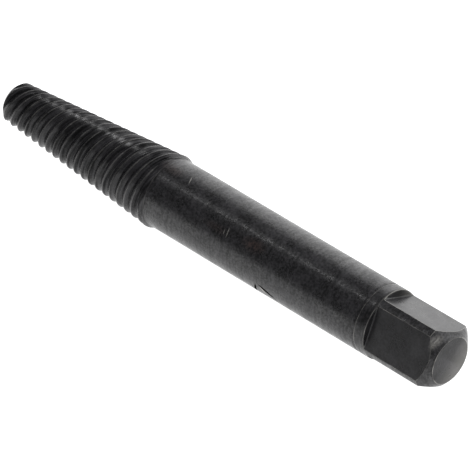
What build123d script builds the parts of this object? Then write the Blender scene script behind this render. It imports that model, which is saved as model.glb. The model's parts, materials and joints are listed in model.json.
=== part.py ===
# Spiral screw extractor, one piece of hardened and blackened tool steel.
# A tapered nose carries left-hand flutes, the middle is a plain round shank,
# and the other end is milled to a square for a tap wrench.
# It is drawn upright on its drive end, then laid down along X: the centre of the
# drive end face is the origin, the drive faces +X and the nose points to -X.

import os
from math import atan, ceil, cos, degrees

from build123d import *

# Lengths along the axis, in millimetres
overall_length = 86.4
nose_length = 31.3
shoulder_length = 0.65
drive_length = 11.3

# Diameters: the shank is ground up to the ring line, and from there the drive end
# is turned a hair wider towards its bevel
shank_diameter = 10.8
nose_tip_diameter = 6.5
nose_base_diameter = 11.6
drive_bevel_diameter = 10.9
drive_end_diameter = 7.2

# Spiral flutes: left-hand grooves side by side, which meet in sharp ridges and
# are deepest half-way up the nose. Each has a long flank and a steeper one that
# faces the drive end and takes this share of its width. The angle is where the
# first ridge stands at the shoulder.
flute_count = 5
flute_lead = 8.0
flute_end_depth = 0.38
flute_middle_depth = 0.66
steep_flank_share = 0.38
flute_angle = 48

# Square drive: the roll turns the square about the axis, the run-out is the
# hollow corner that the cutter leaves where each flat meets the shank
flat_count = 4
across_flats = 8.5
drive_roll = 23.7
runout_radius = 0.4
drive_chamfer_length = 1.6

# Turned details
ring_distance = 13.3
ring_width = 0.3
ring_depth = 0.1
tip_chamfer = 0.45

# Heights above the drive end face that follow from the sizes
shoulder_height = overall_length - nose_length
shank_top = shoulder_height - shoulder_length

# Screw body that the nose is cut from: it starts far enough below the shoulder,
# and has enough turns, to be whole from the shoulder to the tip
flute_pitch = flute_lead / flute_count
screw_start = shoulder_height - flute_lead - flute_pitch
turn_count = ceil((overall_length - screw_start) / flute_lead)
flute_turns = turn_count * flute_count


def ridge_radius(height):
    """Radius of the ridges at a height above the drive end face."""
    share = (height - shoulder_height) / nose_length
    return nose_base_diameter / 2 + share * (nose_tip_diameter - nose_base_diameter) / 2


def bottom_radius(height):
    """Radius of the groove bottoms at a height above the drive end face."""
    share = (height - shoulder_height) / nose_length
    bow = max(0, 4 * share * (1 - share))
    return ridge_radius(height) - flute_end_depth - bow * (flute_middle_depth - flute_end_depth)


def helix_turn(radius_at, height):
    """One left-hand turn of the helix with this radius, starting at a height.

    It lies on a cone, and its pitch is measured along the cone's side.
    """
    start, end = radius_at(height), radius_at(height + flute_lead)
    cone_angle = atan((end - start) / flute_lead)
    return Edge.make_helix(
        pitch=flute_lead / cos(cone_angle),
        height=flute_lead,
        radius=start,
        center=(0, 0, height),
        angle=degrees(cone_angle),
        lefthand=True,
    )


def screw_end(ridge_turns, bottom_turns, at, last_ridge):
    """Close one end of the screw body with two faces that meet on the axis.

    One is flat and shows one lead's flutes in section, and the other winds from
    the axis out to the last ridge.
    """
    outline = [ridge_turns[0] @ at]
    for bottom, ridge in zip(bottom_turns, ridge_turns[1:]):
        outline += [bottom @ at, ridge @ at]
    low, high = (0, 0, outline[0].Z), (0, 0, outline[-1].Z)
    section = Face(Wire.make_polygon([low, *outline, high]))
    winding = Face.make_surface_from_curves(Edge.make_line(low, high), last_ridge)
    return [section, winding]


# Fluted nose: ridges and groove bottoms are drawn a turn at a time, each flank
# is ruled between two of them, and the closed body is cut off at both ends
ridges = [helix_turn(ridge_radius, screw_start + i * flute_pitch) for i in range(flute_turns + 1)]
bottom_start = screw_start + (1 - steep_flank_share) * flute_pitch
bottoms = [helix_turn(bottom_radius, bottom_start + i * flute_pitch) for i in range(flute_turns)]
screw_faces = screw_end(ridges[: flute_count + 1], bottoms[:flute_count], 0, ridges[0])
for ridge, bottom, next_ridge in zip(ridges, bottoms, ridges[1:]):
    screw_faces.append(Face.make_surface_from_curves(ridge, bottom))
    screw_faces.append(Face.make_surface_from_curves(bottom, next_ridge))
screw_faces += screw_end(ridges[-flute_count - 1 :], bottoms[-flute_count:], 1, ridges[-1])

with BuildPart() as nose:
    add(Solid(Shell(screw_faces)), rotation=(0, 0, flute_angle))
    split(bisect_by=Plane.XY.offset(shoulder_height), keep=Keep.TOP)
    split(bisect_by=Plane.XY.offset(overall_length), keep=Keep.BOTTOM)
    # Bevel turned on the tip: the cut starts on the end face and runs out past
    # the ridges
    bevel_start = nose_tip_diameter / 2 - tip_chamfer
    bevel_cut = 2 * tip_chamfer
    with BuildSketch(Plane.XZ):
        with BuildLine():
            Polyline(
                (bevel_start, overall_length),
                (bevel_start + bevel_cut, overall_length - bevel_cut),
                (bevel_start + bevel_cut, overall_length),
                close=True,
            )
        make_face()
    revolve(axis=Axis.Z, mode=Mode.SUBTRACT)

# Cutter for one flat of the square: level with the flat, with the run-out
# radius at its upper inner corner
half_flats = across_flats / 2
cutter_reach = shank_diameter
with BuildPart() as flat_cutter:
    with BuildSketch(Plane.XZ) as flat_profile:
        with Locations((half_flats, 0)):
            Rectangle(cutter_reach, 2 * drive_length, align=(Align.MIN, Align.CENTER))
        inner_corner = flat_profile.vertices().group_by(Axis.Z)[-1].sort_by(Axis.X)[0]
        fillet(inner_corner, runout_radius)
    extrude(amount=cutter_reach, both=True)

# Whole tool: the turned body from the drive end to the shoulder, the square,
# and the fluted nose on top
shank_radius = shank_diameter / 2
with BuildPart() as extractor:
    with BuildSketch(Plane.XZ):
        with BuildLine():
            Polyline(
                (0, 0),
                (drive_end_diameter / 2, 0),
                (drive_bevel_diameter / 2, drive_chamfer_length),
                (shank_radius, ring_distance - ring_width / 2),
                (shank_radius - ring_depth, ring_distance),
                (shank_radius, ring_distance + ring_width / 2),
                (shank_radius, shank_top),
                (nose_base_diameter / 2, shoulder_height),
                (0, shoulder_height),
                close=True,
            )
        make_face()
    revolve(axis=Axis.Z)
    with PolarLocations(0, flat_count, start_angle=drive_roll):
        add(flat_cutter.part, mode=Mode.SUBTRACT)
    add(nose.part)

extractor.part = extractor.part.rotate(Axis.Y, -90)
extractor.part.label = "extractor"

os.makedirs("parts", exist_ok=True)
export_step(extractor.part, "parts/extractor.step")
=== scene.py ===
# Spiral screw extractor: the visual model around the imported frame.
# Lengths are in millimetres until they go into a mesh, a light or the camera.
# A place on the tool is a distance from the drive end along the axis, and a turn
# about the axis in degrees: 0 faces +Y, 90 faces +Z.

import json

import bmesh
import bpy
import numpy as np
from mathutils import Matrix, Vector


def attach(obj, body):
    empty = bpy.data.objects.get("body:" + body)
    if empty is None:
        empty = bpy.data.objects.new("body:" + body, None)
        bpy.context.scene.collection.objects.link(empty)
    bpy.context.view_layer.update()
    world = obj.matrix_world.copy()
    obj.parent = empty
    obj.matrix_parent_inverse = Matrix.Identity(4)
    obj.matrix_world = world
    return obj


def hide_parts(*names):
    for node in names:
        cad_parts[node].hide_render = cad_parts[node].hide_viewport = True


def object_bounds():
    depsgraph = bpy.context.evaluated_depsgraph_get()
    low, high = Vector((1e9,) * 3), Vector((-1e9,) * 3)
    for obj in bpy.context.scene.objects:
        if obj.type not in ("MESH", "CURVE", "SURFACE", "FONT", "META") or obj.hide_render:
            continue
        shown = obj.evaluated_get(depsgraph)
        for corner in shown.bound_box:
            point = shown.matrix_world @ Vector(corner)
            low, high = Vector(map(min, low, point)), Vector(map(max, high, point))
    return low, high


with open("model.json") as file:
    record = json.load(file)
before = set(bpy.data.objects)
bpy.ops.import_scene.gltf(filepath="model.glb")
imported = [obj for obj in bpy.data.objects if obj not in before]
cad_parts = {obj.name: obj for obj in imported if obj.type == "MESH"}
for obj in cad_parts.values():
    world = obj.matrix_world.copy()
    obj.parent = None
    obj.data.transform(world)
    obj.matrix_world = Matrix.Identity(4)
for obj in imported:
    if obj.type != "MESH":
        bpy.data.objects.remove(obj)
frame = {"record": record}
cadLow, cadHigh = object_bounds()
millimetre = 0.001
mounts = {m["name"]: m for m in frame["record"]["mounts"]}
print("frame loaded")


def linear(hexColour):
    # "#rrggbb" in sRGB to linear red, green, blue and alpha: dark shares are divided,
    # and the others are raised to a power
    shares = [int(hexColour[i:i + 2], 16) / 255 for i in (1, 3, 5)]
    return (*[c / 12.92 if c <= 0.04045 else ((c + 0.055) / 1.055) ** 2.4 for c in shares], 1)


def addNode(tree, kind, settings=(), **inputs):
    # settings are the node's own; an input is a value, or a socket to link from, and
    # is named by its label, or by its number after a low dash
    node = tree.nodes.new("ShaderNode" + kind)
    for name, value in dict(settings).items():
        setattr(node, name, value)
    for name, value in inputs.items():
        socket = node.inputs[int(name[1:]) if name[1:].isdigit() else name.replace("_", " ")]
        if isinstance(value, bpy.types.NodeSocket):
            tree.links.new(value, socket)
        else:
            socket.default_value = value
    return node


# Camera: the photograph's viewing angle, from the long way off that a packshot has
camera = {
    "azimuth": 44.34,
    "elevation": 37.72,
    "focalPixels": 4595.5,
    "framePixels": 470,
    "sensorWidth": 36,
    "originAt": (29.54, -17.28, 630.8),  # the drive end from the camera: right, up, ahead
    "sees": (0.01, 20),                  # metres
}


def makeCamera(c):
    # its axes come from the two angles, and it stands back from the drive end, which
    # is at the origin, by where that end lies in its view
    a, e = np.radians((c["azimuth"], c["elevation"]))
    right = Vector((np.cos(a), np.sin(a), 0))
    up = Vector((-np.sin(a) * np.sin(e), np.cos(a) * np.sin(e), np.cos(e)))
    back = right.cross(up)
    toRight, toUp, ahead = c["originAt"]
    place = (back * ahead - right * toRight - up * toUp) * millimetre
    data = bpy.data.cameras.new("camera")
    data.sensor_width = c["sensorWidth"]
    data.lens = c["sensorWidth"] * c["focalPixels"] / c["framePixels"]
    data.clip_start, data.clip_end = c["sees"]
    eye = bpy.data.objects.new("camera", data)
    eye.matrix_world = Matrix.Translation(place) @ Matrix((right, up, back)).transposed().to_4x4()
    bpy.context.scene.collection.objects.link(eye)
    bpy.context.scene.camera = eye


makeCamera(camera)
bpy.context.scene.view_settings.view_transform = "Standard"

# Light: a white acrylic table lit from below, brighter towards the white wall
# behind it, a small lamp nearly overhead, a window beyond the drive end, and a
# dark room on the camera's side
studio = {
    "tableSize": 300,
    "tableGlow": (1.0, 1.25),
    "tableGlowFrom": (-12, 6),          # where the wall's light begins and is full, along Y
    "tableColour": "#7a7a7a",
    "tableRoughness": 0.9,
    "wallGlow": 1.9,
    "wallEnd": (-0.85, -0.53, 0.2),     # towards the nose the wall fades to this share
    "wallTop": 52,                      # degrees above the table where the wall ends
    "wallFade": 0.2,                    # on each side of that top, as a sine
    "roomGlow": 0.15,
    "lampWay": (-0.553, -0.18, 0.815),  # from the tool
    "lampSize": 130,
    "lampPower": 0.3,                   # watts, like the other two
    "windowWay": (0.62, 0.14, 0.77),
    "windowSize": 100,
    "windowPower": 1.6,
    "lampDistance": 1000,               # the window's too
    "fillPlace": (-43, 0, 1200),
    "fillSize": 1500,
    "fillPower": 8,
}


def makeTable(s):
    # a square sheet at the tool's lowest point: matt, without gloss, and its white
    # glow rises evenly along Y between two places
    half = s["tableSize"] / 2 * millimetre
    middle = (cadLow.x + cadHigh.x) / 2
    corners = ((-half, -half), (half, -half), (half, half), (-half, half))
    mesh = bpy.data.meshes.new("table")
    mesh.from_pydata([(middle + x, y, cadLow.z) for x, y in corners], [], [(0, 1, 2, 3)])
    table = bpy.data.objects.new("table", mesh)
    bpy.context.scene.collection.objects.link(table)

    material = bpy.data.materials.new("white acrylic table")
    material.use_nodes = True
    tree = material.node_tree
    surface = tree.nodes["Principled BSDF"]
    surface.inputs["Base Color"].default_value = linear(s["tableColour"])
    surface.inputs["Roughness"].default_value = s["tableRoughness"]
    surface.inputs["Specular IOR Level"].default_value = 0
    surface.inputs["Emission Color"].default_value = (1, 1, 1, 1)
    start, full = s["tableGlowFrom"]
    low, high = s["tableGlow"]
    axes = addNode(tree, "SeparateXYZ", _0=addNode(tree, "TexCoord").outputs["Object"])
    glow = addNode(tree, "MapRange", Value=axes.outputs["Y"], From_Min=start * millimetre,
                   From_Max=full * millimetre, To_Min=low, To_Max=high)
    tree.links.new(glow.outputs["Result"], surface.inputs["Emission Strength"])
    mesh.materials.append(material)


def makeSky(s):
    # the wall is what lies on the +Y side of a slanting plane: it glows below its
    # top, fades towards the nose, and the camera itself sees only white
    world = bpy.data.worlds.new("studio")
    bpy.context.scene.world = world
    world.use_nodes = True
    tree = world.node_tree
    tree.nodes.clear()
    way = addNode(tree, "TexCoord").outputs["Generated"]
    top = np.radians(s["wallTop"])
    intoWall = (0, float(np.sin(top)), -float(np.cos(top)))
    above = addNode(tree, "VectorMath", {"operation": "DOT_PRODUCT"}, _0=way,
                    _1=intoWall).outputs["Value"]
    glow = addNode(tree, "MapRange", {"interpolation_type": "SMOOTHSTEP"}, Value=above,
                   From_Min=-s["wallFade"], From_Max=s["wallFade"],
                   To_Min=s["roomGlow"], To_Max=s["wallGlow"]).outputs["Result"]
    low, high, share = s["wallEnd"]
    along = addNode(tree, "SeparateXYZ", _0=way).outputs["X"]
    fade = addNode(tree, "MapRange", Value=along, From_Min=low, From_Max=high,
                   To_Min=share).outputs["Result"]
    faded = addNode(tree, "Math", {"operation": "MULTIPLY"}, _0=glow, _1=fade).outputs[0]
    seen = addNode(tree, "LightPath").outputs["Is Camera Ray"]
    strength = addNode(tree, "Mix", _0=seen, _2=faded, _3=1.0).outputs[0]
    sky = addNode(tree, "Background", Color=(1, 1, 1, 1), Strength=strength)
    addNode(tree, "OutputWorld", Surface=sky.outputs["Background"])


def makeLamp(name, place, aim, size, power, inReflections):
    # a round panel that faces its aim
    data = bpy.data.lights.new(name, "AREA")
    data.shape = "DISK"
    data.size = size * millimetre
    data.energy = power
    towards = (Vector(place) - Vector(aim)).to_track_quat("Z", "Y").to_matrix().to_4x4()
    lamp = bpy.data.objects.new(name, data)
    lamp.matrix_world = Matrix.Translation(Vector(place) * millimetre) @ towards
    lamp.visible_glossy = inReflections
    lamp.visible_camera = False
    bpy.context.scene.collection.objects.link(lamp)


def makeStudio(s):
    # the lamp and the window stand off from the tool's middle, each in its own way
    makeTable(s)
    makeSky(s)
    middle = (cadLow + cadHigh) / 2 / millimetre
    lampPlace = middle + Vector(s["lampWay"]).normalized() * s["lampDistance"]
    windowPlace = middle + Vector(s["windowWay"]).normalized() * s["lampDistance"]
    makeLamp("overhead lamp", lampPlace, middle, s["lampSize"], s["lampPower"], True)
    makeLamp("window", windowPlace, middle, s["windowSize"], s["windowPower"], True)
    makeLamp("fill panel", s["fillPlace"], middle, s["fillSize"], s["fillPower"], False)


makeStudio(studio)
print("camera and studio made")

# Shape of the tool: lengths and radii that the frame gives, and the finer ones
# that only show up close. An edge or a corner is rounded over the length given.
flatNormal = Vector(mounts["drive_flat_1"]["axis"])
tool = {
    "length": (cadHigh.x - cadLow.x) / millimetre,
    "shankRadius": mounts["shank"]["dims"]["r_mm"],
    "noseBaseRadius": (cadHigh.z - cadLow.z) / 2 / millimetre,
    "halfAcrossFlats": Vector(mounts["drive_flat_1"]["pos_m"]).yz.length / millimetre,
    "flatTurn": float(np.degrees(np.arctan2(flatNormal.z, flatNormal.y))),
    "edgeRound": 0.05,
    # square drive
    "endRadius": 3.6,
    "endCorner": 0.06,
    "endBevel": (1.6, 5.45),   # its length, and the radius it runs out to
    "driveLength": 11.3,
    "runoutRadius": 0.2,
    "runoutRim": 0.1,          # where a run-out's wall meets the shank
    # shank
    "ring": (13.3, 0.3, 0.1),  # distance, width, depth
    "ringCorner": 0.05,
    "rowSpacing": 3,           # of the rows along the plain shank
    "shoulderLength": 0.65,
    "shoulderCorner": 0.1,
    # nose
    "noseLength": 31.3,
    "noseTipRadius": 3.25,
    "tipBevel": 0.45,
    "tipShares": (0.95, 0.7, 0.4, 0.15, 0),  # of the radius, for the rows of the tip's face
}
flutes = {
    "count": 5,
    "lead": 8.0,
    "endDepth": 0.38,
    "middleDepth": 0.66,
    "crestTurn": 42,           # where a ridge meets the shoulder
    "landShare": 0.08,         # of a pitch: the worn top of a ridge
    "steepShare": 0.38,        # of a pitch: the flank that faces the drive end
    "crestRound": 0.025,
}


def softMin(first, second, width):
    # the lower of two radii, less a quarter of the width times the square of how near
    # they are, which rounds the edge between them; also gives that square, from 0 to 1
    near = np.clip(1 - np.abs(first - second) / width, 0, 1)
    return np.minimum(first, second) - near ** 2 * width / 4, near ** 2


def spread(start, end, shares):
    # rows between two places, at these shares of the way
    return start + (end - start) * np.reshape(shares, (-1, 1))


def columnTurns(t):
    # turns of the grid's columns: close together beside the four flats' edges, which
    # stand a little further out than a flat would meet the shank, because the drive
    # end is wider
    further = 0.3
    halfFlat = np.degrees(np.arccos(t["halfAcrossFlats"] / t["shankRadius"])) + further
    edge = np.array((-1.6, -1.1, -0.75, -0.45, -0.15, 0.15, 0.45, 0.75, 1.1, 1.6))
    clear = 2.6
    quarter = np.concatenate((
        edge - halfFlat, np.linspace(clear - halfFlat, halfFlat - clear, 13),
        edge + halfFlat, np.linspace(halfFlat + clear, 90 - halfFlat - clear, 3)))
    return np.concatenate([quarter + 90 * k for k in range(4)]) + t["flatTurn"]


def offFlat(t, turn):
    # angle from the middle of the nearest flat, in radians
    return np.radians((turn - t["flatTurn"] + 45) % 90 - 45)


def endSlope(t):
    # how fast the end cone's radius grows with distance
    bevelLength, bevelRadius = t["endBevel"]
    return (bevelRadius - t["endRadius"]) / bevelLength


def barrelRadius(t, distance):
    # the drive end is a hair wider than the shank: a slow taper from the bevel to
    # the ring line
    bevelLength, bevelRadius = t["endBevel"]
    ringStart = t["ring"][0] - t["ring"][1] / 2
    return np.interp(distance, (bevelLength, ringStart), (bevelRadius, t["shankRadius"]))


def driveRadius(t, distance, turn, height):
    # square drive cut into the barrel: height is the flat's, square to it, and the
    # end is a cone; also gives a place's edge wear and whether it is milled
    square = height / np.cos(offFlat(t, turn))
    barrel = barrelRadius(t, distance)
    cone = t["endRadius"] + endSlope(t) * distance
    cut, flatEdge = softMin(square, barrel, t["edgeRound"])
    radius, endEdge = softMin(cut, cone, t["edgeRound"])
    flatEdge = np.where(cut < cone, flatEdge, 0)
    return radius, np.maximum(flatEdge, endEdge), (square < np.minimum(barrel, cone)).astype(float)


def driveRows(t, turn):
    # rows that follow the edges at each turn, as distances and flat heights: the end
    # cone and its edge, the flats, then each run-out, which is the arc of the cutter's
    # corner, a wall square to the flat and its rounded rim, and then the shank
    flat, arc, wall = t["halfAcrossFlats"], t["runoutRadius"], t["driveLength"]
    bevelRadius = t["endBevel"][1]
    cosine = np.cos(offFlat(t, turn))
    coneEdge = (np.minimum(bevelRadius, flat / cosine) - t["endRadius"]) / endSlope(t)
    coneStart, clear, pastWall = 0.12, 0.15, 0.5
    acrossEdge = np.reshape((-0.1, -0.06, -0.03, 0, 0.03, 0.06, 0.1), (-1, 1))

    top = np.maximum(barrelRadius(t, wall) * cosine, flat)
    arcEnd = np.arccos(1 - np.minimum(top - flat, arc) / arc)
    arcAngles = spread(0, arcEnd, (0.15, 0.3, 0.45, 0.6, 0.72, 0.84, 0.93, 1))
    arcTop = wall - arc + arc * np.sin(arcEnd)
    arcHeight = flat + arc * (1 - np.cos(arcEnd))
    mostOfWall = 0.9
    rim = np.minimum(t["runoutRim"], (top - arcHeight) * mostOfWall)
    rimAngles = spread(0, np.pi / 2, np.linspace(0, 1, 5))

    places = (
        (spread(coneStart, coneEdge - clear, np.linspace(0, 1, 5)), flat),
        (coneEdge + acrossEdge, flat),
        (spread(coneEdge + clear, wall - arc, np.linspace(0, 1, 9)), flat),
        (wall - arc + arc * np.sin(arcAngles), flat + arc * (1 - np.cos(arcAngles))),
        (arcTop, spread(arcHeight, top - rim, (0.4, 0.8, 0.95))),
        (arcTop + rim * (1 - np.cos(rimAngles)), top - rim * (1 - np.sin(rimAngles))),
        (spread(arcTop + rim, wall + pastWall, (0.15, 0.5, 1)), 2 * bevelRadius),
    )
    pairs = [np.broadcast_arrays(*place) for place in places]
    distance, height = (np.concatenate(part) for part in zip(*pairs))
    return (distance, *driveRadius(t, distance, turn, height))


def turnedRows(corners, turn, steps=5):
    # a turned profile: straight between its corners (distance, radius, length of the
    # cut), and a cut corner is a curve that starts and ends that length away from it
    share = np.linspace(0, 1, steps)[:, None]
    other = 1 - share
    points, wear = [], []
    for i, (distance, radius, cut) in enumerate(corners):
        here = np.array((distance, radius))
        if cut == 0:
            points.append(here)
            wear.append(0.0)
            continue
        before = np.array(corners[i - 1][:2]) - here
        after = np.array(corners[i + 1][:2]) - here
        start = here + before / np.linalg.norm(before) * cut
        end = here + after / np.linalg.norm(after) * cut
        points.extend(start * other ** 2 + here * 2 * share * other + end * share ** 2)
        wear.extend((4 * share * other).ravel())
    distance, radius = np.array(points).T
    full = np.ones_like(turn)
    return tuple(np.outer(part, full) for part in (distance, radius, wear, np.zeros(len(points))))


def endFaceCorners(t):
    # the drive end's face, from its middle to just past its corner
    radius, inside, coneStart = t["endRadius"], 0.2, 0.1
    return [(0, 0, 0), (0, radius / 3, 0), (0, radius * 2 / 3, 0), (0, radius - inside, 0),
            (0, radius, t["endCorner"]), (coneStart, radius + coneStart * endSlope(t), 0)]


def shankCorners(t):
    # from beside the ring line, along the plain shank, to the shoulder's top
    shank = t["shankRadius"]
    ringAt, ringWidth, ringDepth = t["ring"]
    beside, beforeShoulder, plainEnd = 0.4, 0.5, 2
    ring = [(ringAt - beside, barrelRadius(t, ringAt - beside), 0),
            (ringAt - ringWidth / 2, shank, t["ringCorner"]), (ringAt, shank - ringDepth, 0),
            (ringAt + ringWidth / 2, shank, 0), (ringAt + beside, shank, 0)]
    noseStart = t["length"] - t["noseLength"]
    spacing = t["rowSpacing"]
    plain = [(distance, shank, 0) for distance in np.arange(ringAt + spacing, noseStart - plainEnd, spacing)]
    shoulderAt = noseStart - t["shoulderLength"]
    shoulder = [(shoulderAt - beforeShoulder, shank, 0), (shoulderAt, shank, t["shoulderCorner"]),
                (noseStart, t["noseBaseRadius"], 0)]
    return ring + plain + shoulder


def fluteRadius(t, f, distance, turn):
    # the taper less the flute, whose full depth is a bow that is highest half-way: a
    # place's phase, counted in pitches from a ridge, gives its share of that, which is
    # level over the ridge's land, then falls down a long flank and rises up a steep one
    noseStart = t["length"] - t["noseLength"]
    share = (distance - noseStart) / t["noseLength"]
    ridge = t["noseBaseRadius"] + share * (t["noseTipRadius"] - t["noseBaseRadius"])
    full = f["endDepth"] + 4 * share * (1 - share) * (f["middleDepth"] - f["endDepth"])
    phase = ((distance - noseStart) * 360 / f["lead"] + f["crestTurn"] - turn) / (360 / f["count"])
    depth = full * np.interp(phase % 1, (0, f["landShare"], 1 - f["steepShare"], 1), (0, 0, 1, 0))
    radius, crest = softMin(ridge - depth, ridge - f["crestRound"] / 2, f["crestRound"])
    tipCone = t["noseTipRadius"] - t["tipBevel"] + (t["length"] - distance)
    radius, tipEdge = softMin(radius, tipCone, t["edgeRound"])
    return radius, np.maximum(np.where(depth < f["crestRound"], 1.0, crest), tipEdge)


def flutePhases(f):
    # shares of a pitch where rows lie, close together at both edges of the land and
    # at the flute's bottom
    land, bottom = f["landShare"], 1 - f["steepShare"]
    return np.concatenate((
        (0.0, 0.02, land / 2, land - 0.01, land + 0.02, land + 0.05),
        land + (bottom - land) * np.array((0.25, 0.5, 0.75, 0.94)), (bottom, bottom + 0.03),
        bottom + (1 - bottom) * np.array((0.25, 0.55, 0.8)), (0.96, 0.985)))


def noseRows(t, f, turn):
    # rows that climb with the flutes, one lead a turn, and are held between the
    # shoulder and the tip face, so that each row ends on both
    noseStart = t["length"] - t["noseLength"]
    pitch = f["lead"] / f["count"]
    firstRidge = (turn[0] - f["crestTurn"]) / 360 * f["lead"]
    pitches = np.arange(-f["count"] - 1, np.ceil(t["noseLength"] / pitch) + 1)
    starts = firstRidge % pitch + ((pitches[:, None] + flutePhases(f)) * pitch).ravel()
    climb = (turn - turn[0]) / 360 * f["lead"]
    distance = noseStart + np.clip(starts[:, None] + climb, 0, t["noseLength"])
    radius, wear = fluteRadius(t, f, distance, turn)
    return distance, radius, wear, np.zeros_like(radius)


def gridMesh(name, rows, turn, meets):
    # one closed skin from rows of distance, radius, edge wear and milled share: each
    # point is its distance along -X, and its radius turned about the axis. A row's end
    # meets the start of the row that meets gives, and points closer than the weld
    # become one.
    weld = 0.002
    distance, radius, wear, milled = rows
    angle = np.radians(turn)
    points = np.stack((-distance, radius * np.cos(angle), radius * np.sin(angle)), axis=-1) * millimetre
    index = np.arange(distance.size).reshape(distance.shape)
    index = np.column_stack((index, index[meets, 0]))
    corners = (index[:-1, :-1], index[1:, :-1], index[1:, 1:], index[:-1, 1:])
    mesh = bpy.data.meshes.new(name)
    mesh.from_pydata(points.reshape(-1, 3), [], np.stack(corners, axis=-1).reshape(-1, 4))
    mesh.attributes.new("edge_wear", "FLOAT", "POINT").data.foreach_set("value", wear.ravel())
    mesh.attributes.new("milled", "FLOAT", "POINT").data.foreach_set("value", milled.ravel())
    skin = bmesh.new()
    skin.from_mesh(mesh)
    bmesh.ops.remove_doubles(skin, verts=skin.verts, dist=weld * millimetre)
    bmesh.ops.recalc_face_normals(skin, faces=skin.faces)
    skin.to_mesh(mesh)
    skin.free()
    mesh.shade_smooth()
    piece = bpy.data.objects.new(name, mesh)
    bpy.context.scene.collection.objects.link(piece)
    return piece


def makeTool(t, f):
    # rows from the middle of the drive end's face to the middle of the tip's: a
    # fluted row meets the row one lead further on, and any other row itself
    turn = columnTurns(t)
    body = [turnedRows(endFaceCorners(t), turn), driveRows(t, turn), turnedRows(shankCorners(t), turn)]
    nose = noseRows(t, f, turn)
    tipRadius = nose[1][-1] * np.reshape(t["tipShares"], (-1, 1))
    unworn = np.zeros_like(tipRadius)
    tip = (unworn + t["length"], tipRadius, unworn, unworn)
    rows = [np.concatenate(part) for part in zip(*body, nose, tip)]
    first = sum(len(part[0]) for part in body)
    last = first + len(nose[0]) - 1
    row = np.arange(len(rows[0]))
    nextLead = np.minimum(row + f["count"] * len(flutePhases(f)), last)
    meets = np.where((row >= first) & (row <= last), nextLead, row)
    return gridMesh("extractor_steel", rows, turn, meets)


steel = makeTool(tool, flutes)
print("tool made:", len(steel.data.vertices), "vertices", len(steel.data.polygons), "faces")

# Black-oxided tool steel: a thin oiled oxide skin over metal, nearly black, with
# the satin sheen of the ground shank, the duller one of the fluted nose, and bare
# steel where edges have rubbed. A pair of numbers is a low and a high, unless its
# note says otherwise.
oxide = {
    "skin": "#0f0f10",
    "skinLight": "#38373a",         # where the oxide is thin
    "steel": "#b4b2ad",             # bare edges and scratches, and painted glints on the side run-out's rim and the end cone
    "rust": "#40302a",
    "nearBlack": "#060606",              # near black: in the cuts, and painted shade in the top run-out's corner
    # patterns, sized in millimetres
    "cloudSize": 2.2,               # patches where the oxide is thin
    "cloudDetail": {"Detail": 5.0, "Roughness": 0.6},
    "cloudThin": (0.42, 0.68, 0.25),  # the clouds' range that is thinner, and by how much
    "cloudWear": (0.4, 0.6, 0.25),  # the clouds' range where edges are rubbed, and the least wear
    "grainSize": 0.34,              # of the etched surface, drawn coarser than the real one
    "lineSpacing": 0.4,             # turning lines, drawn coarser than the real ones
    "toolMarkSpacing": 0.27,        # lines that the cutter left along the flutes, coarser too
    "lineChange": 0.12,             # how little a line changes along itself
    "fineDetail": {"Detail": 2.0, "Roughness": 0.7},  # of the grain and the lines
    "contrast": (0.4, 0.62),        # the patterns' range that counts
    "lineShare": (0.5, 0.8),        # of lines against grain, off the nose and on it
    "groundLines": 0.6,             # of the turning lines, on the ground shank
    "milledCalm": (0.75, 0.4),      # how far the flats are smoothed, and to what level
    "grainThin": 0.65,              # how much the grain's high places thin the oxide
    "grainDepth": 0.004,
    "lineDepth": 0.03,
    "cutDepth": 0.12,
    # sheen
    "groundSpecular": (0.36, 0.66),  # on the grain's low and high places
    "noseSpecular": (0.1, 0.45),
    "endSpecular": 0.22,
    # no sheen in the cuts, and none in the painted shade of the top run-out's corner
    "paintedShadeSpecular": 0.0,
    "shankRoughness": 0.26,
    "millRoughness": 0.3,
    "noseRoughness": 0.26,
    "ridgeRoughness": 0.25,
    "lineRange": (0.4, 0.6),        # of the turning lines
    "lineRoughness": 0.12,          # how much duller their lows are
    "cloudRange": (0.3, 0.7),
    "cloudRoughness": (-0.06, 0.08),  # what the clouds add over their range
    # wear
    "wear": 0.8,                    # how bare a rubbed edge is
    "ridgeWear": 0.12,              # the same on the nose
    "endLightening": (0.25, -47),         # how bare the end face is at its lighter side, and that side's turn
    "markEdge": 2.5,                # how steeply a mark rises to its full strength
}
# marks: what shows, their two ends (distance from the drive end, turn), width and
# strength
marks = {
    "upper cut": ("cut", (32.0, 188.8), (28.2, 206.8), 0.7, 1.0),
    "lower cut": ("cut", (32.0, 188.8), (33.3, 231.8), 0.6, 1.0),
    "top scratch": ("bareAndGlint", (49.8, 90.0), (49.1, 106.0), 0.14, 0.8),
    "front scratch": ("bareAndGlint", (38.9, 130.0), (38.7, 147.0), 0.2, 0.5),
    "front scratch two": ("bareAndGlint", (39.5, 136.0), (39.3, 146.0), 0.16, 0.3),
    # painted highlight: bare steel laid on the side run-out's rim where the lamp's glint falls
    "side run-out rim painted glint": ("bareAndGlint", (11.42, 122.0), (11.42, 180.0), 0.34, 0.8),
    "between the cuts": ("bareAndGlint", (31.6, 194.0), (30.2, 208.0), 0.5, 0.5),
    # painted highlight: speckled bare steel where the window's reflection falls on the end cone
    "end cone painted highlight": ("speckledHighlight", (0.7, 98.0), (1.1, 140.0), 1.2, 0.28),
    # painted shade: the top run-out's wall, near black and without sheen, where shade falls in its corner
    "top run-out painted shade": ("paintedShade", (11.34, 22.0), (11.34, 110.0), 0.8, 0.3),
    "front stain": ("rust", (31.4, 133.0), (36.4, 137.0), 2.6, 0.35),
    "long stain": ("rust", (38.0, 141.0), (44.0, 141.0), 1.6, 0.15),
    "shoulder stain": ("rust", (50.5, 96.0), (55.4, 96.0), 2.4, 0.2),
}


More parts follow.
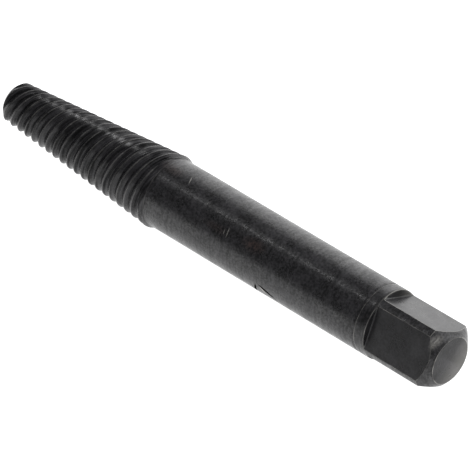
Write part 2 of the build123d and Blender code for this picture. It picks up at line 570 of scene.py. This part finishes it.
def addPlaces(tree, t):
    # the place in millimetres, its distance, its turn in radians, and the skin
    # unrolled flat, where the turn counts as its arc's length on the shank
    inMetres = addNode(tree, "TexCoord").outputs["Object"]
    place = addNode(tree, "VectorMath", {"operation": "SCALE"}, _0=inMetres,
                    Scale=1 / millimetre).outputs["Vector"]
    axes = addNode(tree, "SeparateXYZ", _0=place).outputs
    distance = addNode(tree, "Math", {"operation": "MULTIPLY"}, _0=axes["X"], _1=-1.0).outputs[0]
    turn = addNode(tree, "Math", {"operation": "ARCTAN2"}, _0=axes["Z"], _1=axes["Y"]).outputs[0]
    arc = addNode(tree, "Math", {"operation": "MULTIPLY"}, _0=turn, _1=t["shankRadius"]).outputs[0]
    unrolled = addNode(tree, "CombineXYZ", X=distance, Y=arc).outputs["Vector"]
    return {"place": place, "distance": distance, "turn": turn, "unrolled": unrolled}


def addZones(tree, at, o, t):
    # how far a place is in each zone, from 0 to 1: milled flats, rubbed edges, the
    # nose, the drive end's face, all but the tip's face, and the turned barrel, which
    # is all but nose and flats. A soft edge is where it begins and where it is full.
    distance, length, ringAt = at["distance"], t["length"], t["ring"][0]
    shoulder = length - t["noseLength"] - t["shoulderLength"]
    zone = {}
    for name, attribute in (("milled", "milled"), ("edge", "edge_wear")):
        zone[name] = addNode(tree, "Attribute", {"attribute_name": attribute}).outputs["Fac"]
    softEdges = {"nose": (shoulder - 0.4, shoulder - 0.2), "endFace": (0.05, 0.03),
                 "offTip": (length - 0.03, length - 0.06), "drive": (ringAt + 0.1, ringAt - 0.1)}
    for name, (start, full) in softEdges.items():
        zone[name] = addNode(tree, "MapRange", Value=distance, From_Min=start,
                             From_Max=full).outputs["Result"]
    barrel = addNode(tree, "MapRange", Value=zone["drive"], To_Min=o["groundLines"]).outputs["Result"]
    other = addNode(tree, "Math", {"operation": "MAXIMUM"}, _0=zone["milled"], _1=zone["nose"]).outputs[0]
    zone["turned"] = addNode(tree, "Math", {"operation": "SUBTRACT", "use_clamp": True}, _0=barrel,
                             _1=other).outputs[0]
    return zone


def addToolMarks(tree, at, o, f):
    # lines along the flutes: a place's winding, which is a full turn for each lead of
    # its distance, less its own turn, is laid round a circle, so that the lines meet
    # without a seam
    leads = addNode(tree, "Math", {"operation": "MULTIPLY"}, _0=at["distance"],
                    _1=2 * np.pi / f["lead"]).outputs[0]
    winding = addNode(tree, "Math", {"operation": "SUBTRACT"}, _0=leads, _1=at["turn"]).outputs[0]
    cosine = addNode(tree, "Math", {"operation": "COSINE"}, _0=winding).outputs[0]
    sine = addNode(tree, "Math", {"operation": "SINE"}, _0=winding).outputs[0]
    circle = addNode(tree, "CombineXYZ", X=cosine, Y=sine).outputs["Vector"]
    change = addNode(tree, "Math", {"operation": "MULTIPLY"}, _0=at["distance"],
                     _1=o["lineChange"]).outputs[0]
    along = addNode(tree, "CombineXYZ", Z=change).outputs["Vector"]
    strand = addNode(tree, "VectorMath", {"operation": "MULTIPLY_ADD"}, _0=circle,
                     _1=(f["lead"] / 2 / np.pi,) * 3, _2=along).outputs["Vector"]
    return addNode(tree, "TexNoise", Vector=strand, Scale=1 / o["toolMarkSpacing"],
                   **o["fineDetail"]).outputs["Fac"]


def addPatterns(tree, at, zone, o, f):
    # clouds in the oxide, turning lines, and one fine texture from 0 to 1: grain
    # mixed with the lines of its zone, sharpened, and calmed on the milled flats
    clouds = addNode(tree, "TexNoise", Vector=at["place"], Scale=1 / o["cloudSize"],
                     **o["cloudDetail"]).outputs["Fac"]
    grain = addNode(tree, "TexNoise", Vector=at["place"], Scale=1 / o["grainSize"],
                    **o["fineDetail"]).outputs["Fac"]
    stretch = (1.0, o["lineChange"], o["lineChange"])
    stretched = addNode(tree, "VectorMath", {"operation": "MULTIPLY"}, _0=at["place"],
                        _1=stretch).outputs["Vector"]
    lines = addNode(tree, "TexNoise", Vector=stretched, Scale=1 / o["lineSpacing"],
                    **o["fineDetail"]).outputs["Fac"]
    body = addNode(tree, "Mix", _0=zone["turned"], _2=grain, _3=lines).outputs[0]
    lined = addNode(tree, "Mix", _0=zone["nose"], _2=body, _3=addToolMarks(tree, at, o, f)).outputs[0]
    offNose, onNose = o["lineShare"]
    share = addNode(tree, "MapRange", Value=zone["nose"], To_Min=offNose, To_Max=onNose).outputs["Result"]
    share = addNode(tree, "Math", {"operation": "MULTIPLY"}, _0=share, _1=zone["offTip"]).outputs[0]
    mixed = addNode(tree, "Mix", _0=share, _2=grain, _3=lined).outputs[0]
    low, high = o["contrast"]
    sharp = addNode(tree, "MapRange", Value=mixed, From_Min=low, From_Max=high).outputs["Result"]
    calmShare, calmLevel = o["milledCalm"]
    calm = addNode(tree, "Math", {"operation": "MULTIPLY"}, _0=zone["milled"], _1=calmShare).outputs[0]
    texture = addNode(tree, "Mix", _0=calm, _2=sharp, _3=calmLevel).outputs[0]
    return {"clouds": clouds, "lines": lines, "texture": texture}


def addMarks(tree, at, o, m, t):
    # each mark is a thin ellipse on the unrolled skin, strongest in its middle; gives
    # where each kind shows
    shown = {"cut": 0.0, "paintedShade": 0.0, "bareAndGlint": 0.0, "speckledHighlight": 0.0, "rust": 0.0}
    for kind, *ends, width, strength in m.values():
        start, end = (np.array((distance, np.radians((turn + 180) % 360 - 180) * t["shankRadius"]))
                      for distance, turn in ends)
        run = end - start
        way = (0, 0, float(np.arctan2(run[1], run[0])))
        size = (float(np.linalg.norm(run)) / 2, width / 2, 1)
        local = addNode(tree, "Mapping", {"vector_type": "TEXTURE"}, Vector=at["unrolled"],
                        Location=(*(start + end) / 2, 0), Rotation=way, Scale=size).outputs["Vector"]
        inside = addNode(tree, "TexGradient", {"gradient_type": "SPHERICAL"}, Vector=local).outputs["Fac"]
        mark = addNode(tree, "Math", {"operation": "MULTIPLY", "use_clamp": True}, _0=inside,
                       _1=o["markEdge"] * strength).outputs[0]
        shown[kind] = addNode(tree, "Math", {"operation": "MAXIMUM"}, _0=shown[kind], _1=mark).outputs[0]
    return shown


def addEndLightening(tree, at, zone, o, t):
    # bare steel on the end face, rising smoothly across it towards one side, which it makes lighter
    share, turn = o["endLightening"]
    side = (0, float(np.cos(np.radians(turn))), float(np.sin(np.radians(turn))))
    radius = t["endRadius"]
    across = addNode(tree, "VectorMath", {"operation": "DOT_PRODUCT"}, _0=at["place"],
                     _1=side).outputs["Value"]
    rise = addNode(tree, "MapRange", {"interpolation_type": "SMOOTHSTEP"}, Value=across,
                   From_Min=-radius / 3, From_Max=radius, To_Max=share).outputs["Result"]
    return addNode(tree, "Math", {"operation": "MULTIPLY"}, _0=zone["endFace"], _1=rise).outputs[0]


def addBareSteelAndGlints(tree, at, zone, pattern, shown, o, t):
    # the most of four: edges rubbed in patches, the end face lightened towards one side, speckled bare steel
    # as a painted highlight on the end cone, and scratches with a painted glint on a rim
    low, high, least = o["cloudWear"]
    patchy = addNode(tree, "MapRange", {"interpolation_type": "SMOOTHSTEP"}, Value=pattern["clouds"],
                     From_Min=low, From_Max=high, To_Min=least).outputs["Result"]
    wear = addNode(tree, "Mix", _0=zone["nose"], _2=o["wear"], _3=o["ridgeWear"]).outputs[0]
    worn = addNode(tree, "Math", {"operation": "MULTIPLY"}, _0=patchy, _1=wear).outputs[0]
    edges = addNode(tree, "Math", {"operation": "MULTIPLY"}, _0=zone["edge"], _1=worn).outputs[0]
    # speckled bare steel: the end cone's painted highlight
    speckled = addNode(tree, "Math", {"operation": "MULTIPLY"}, _0=shown["speckledHighlight"],
                       _1=pattern["texture"]).outputs[0]
    brightened = addNode(tree, "Math", {"operation": "MAXIMUM"}, _0=edges,
                     _1=addEndLightening(tree, at, zone, o, t)).outputs[0]
    brightened = addNode(tree, "Math", {"operation": "MAXIMUM"}, _0=brightened, _1=speckled).outputs[0]
    return addNode(tree, "Math", {"operation": "MAXIMUM", "use_clamp": True}, _0=brightened,
                   _1=shown["bareAndGlint"]).outputs[0]


def addColour(tree, pattern, shown, bareAndGlint, black, o):
    # oxide, thinner in clouds and on the grain's high places, then brown stains, bare
    # steel with its painted glints, and near black in the cuts and as painted shade in a corner, each laid
    # over the one before
    low, high, most = o["cloudThin"]
    cloudy = addNode(tree, "MapRange", {"interpolation_type": "SMOOTHSTEP"}, Value=pattern["clouds"],
                     From_Min=low, From_Max=high, To_Max=most).outputs["Result"]
    thin = addNode(tree, "Math", {"operation": "MULTIPLY_ADD", "use_clamp": True}, _0=pattern["texture"],
                   _1=o["grainThin"], _2=cloudy).outputs[0]
    rusty = addNode(tree, "Math", {"operation": "MULTIPLY"}, _0=shown["rust"],
                    _1=pattern["texture"]).outputs[0]
    colour = linear(o["skin"])
    for share, over in ((thin, "skinLight"), (rusty, "rust"), (bareAndGlint, "steel"), (black, "nearBlack")):
        colour = addNode(tree, "Mix", {"data_type": "RGBA"}, _0=share, _6=colour,
                         _7=linear(o[over])).outputs[2]
    return colour


def addSheen(tree, zone, pattern, black, o):
    # specular level: it follows the texture between a low and a high, one pair for
    # the nose and one for the rest, and is even on the end face, in the cuts and in the painted shade
    low, high = o["groundSpecular"]
    noseLow, noseHigh = o["noseSpecular"]
    body = addNode(tree, "MapRange", Value=pattern["texture"], To_Min=low, To_Max=high).outputs["Result"]
    nose = addNode(tree, "MapRange", Value=pattern["texture"], To_Min=noseLow,
                   To_Max=noseHigh).outputs["Result"]
    sheen = addNode(tree, "Mix", _0=zone["nose"], _2=body, _3=nose).outputs[0]
    sheen = addNode(tree, "Mix", _0=zone["endFace"], _2=sheen, _3=o["endSpecular"]).outputs[0]
    return addNode(tree, "Mix", _0=black, _2=sheen, _3=o["paintedShadeSpecular"]).outputs[0]


def addRoughness(tree, zone, pattern, o):
    # the zone's own roughness, plus the clouds' and that of the turning lines' lows
    body = addNode(tree, "Mix", _0=zone["milled"], _2=o["shankRoughness"],
                   _3=o["millRoughness"]).outputs[0]
    nose = addNode(tree, "Mix", _0=zone["edge"], _2=o["noseRoughness"], _3=o["ridgeRoughness"]).outputs[0]
    own = addNode(tree, "Mix", _0=zone["nose"], _2=body, _3=nose).outputs[0]
    low, high = o["cloudRange"]
    least, most = o["cloudRoughness"]
    clouds = addNode(tree, "MapRange", Value=pattern["clouds"], From_Min=low, From_Max=high,
                     To_Min=least, To_Max=most).outputs["Result"]
    lineLow, lineHigh = o["lineRange"]
    lows = addNode(tree, "MapRange", Value=pattern["lines"], From_Min=lineHigh, From_Max=lineLow,
                   To_Max=o["lineRoughness"]).outputs["Result"]
    more = addNode(tree, "Math", {"operation": "MULTIPLY_ADD"}, _0=lows, _1=zone["turned"],
                   _2=clouds).outputs[0]
    return addNode(tree, "Math", {"operation": "ADD", "use_clamp": True}, _0=own, _1=more).outputs[0]


def addRelief(tree, zone, pattern, shown, o):
    # three bumps, each on the one before: turning lines, texture, and the cuts sunk in
    lines = addNode(tree, "Math", {"operation": "MULTIPLY"}, _0=pattern["lines"],
                    _1=zone["turned"]).outputs[0]
    bump = addNode(tree, "Bump", Strength=1.0, Distance=o["lineDepth"] * millimetre, Height=lines)
    bump = addNode(tree, "Bump", Strength=1.0, Distance=o["grainDepth"] * millimetre,
                   Height=pattern["texture"], Normal=bump.outputs["Normal"])
    bump = addNode(tree, "Bump", {"invert": True}, Strength=1.0, Distance=o["cutDepth"] * millimetre,
                   Height=shown["cut"], Normal=bump.outputs["Normal"])
    return bump.outputs["Normal"]


def makeOxide(o, m, t, f):
    # places give zones, patterns and marks, and those give each input of the surface
    material = bpy.data.materials.new("black-oxided tool steel")
    material.use_nodes = True
    tree = material.node_tree
    at = addPlaces(tree, t)
    zone = addZones(tree, at, o, t)
    pattern = addPatterns(tree, at, zone, o, f)
    shown = addMarks(tree, at, o, m, t)
    bareAndGlint = addBareSteelAndGlints(tree, at, zone, pattern, shown, o, t)
    # near black: the cuts, and painted shade in the top run-out's corner
    black = addNode(tree, "Math", {"operation": "MAXIMUM"}, _0=shown["cut"], _1=shown["paintedShade"]).outputs[0]
    finish = {
        "Base Color": addColour(tree, pattern, shown, bareAndGlint, black, o),
        "Metallic": bareAndGlint,
        "Specular IOR Level": addSheen(tree, zone, pattern, black, o),
        "Roughness": addRoughness(tree, zone, pattern, o),
        "Normal": addRelief(tree, zone, pattern, shown, o),
    }
    for socket, field in finish.items():
        tree.links.new(field, tree.nodes["Principled BSDF"].inputs[socket])
    return material


steel.data.materials.append(makeOxide(oxide, marks, tool, flutes))
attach(steel, "root")
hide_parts("extractor")
print("finish made, and the tool set on the frame")

print("finishing")
